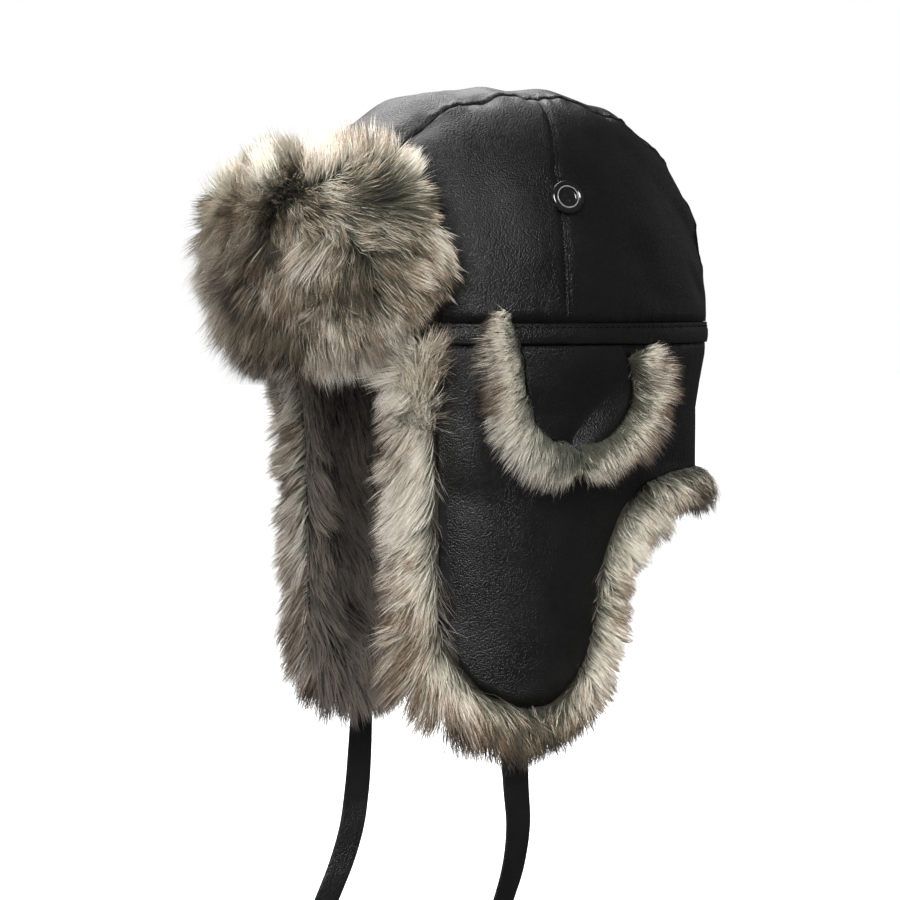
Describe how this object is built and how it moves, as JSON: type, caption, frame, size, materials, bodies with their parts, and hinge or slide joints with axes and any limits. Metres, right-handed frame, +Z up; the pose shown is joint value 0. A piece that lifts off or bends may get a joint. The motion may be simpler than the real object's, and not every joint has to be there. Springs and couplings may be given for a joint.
{
  "type": "trapper hat",
  "caption": "Soft leather trapper hat: panelled dome crown, fur visor turned up, fur-lined ear flaps and neck guard, small fur-edged side flaps and tie straps.",
  "frame": {"origin": "centre of the head opening at the height of the band's seam, where a head holds the hat up", "axes": "+Z up, -Y to the front where the visor stands, +X to the wearer's left"},
  "size_m": [0.2036, 0.265, 0.441],
  "materials": {
    "leather": "soft black leather with a fine pebbled grain, satin sheen",
    "fur": "long-pile fur, grey-olive at the root, cream in the middle, brown at the tips",
    "button": "polished black"
  },
  "bodies": {
    "root": {"crown_centre_panel": "leather", "crown_front_panel_left": "leather", "crown_back_panel_left": "leather", "crown_front_panel_right": "leather", "crown_back_panel_right": "leather", "hat_band": "leather", "ear_flap_leather": "leather", "visor_leather": "leather", "side_flap_leather_left": "leather", "side_flap_leather_right": "leather", "tie_strap_left": "leather", "tie_strap_right": "leather", "ear_flap_fur_left": "fur", "ear_flap_fur_right": "fur", "neck_guard_fur": "fur", "visor_fur": "fur", "side_flap_fur_left": "fur", "side_flap_fur_right": "fur", "crown_button_left": "button", "crown_button_right": "button"}
  },
  "joints": []
}
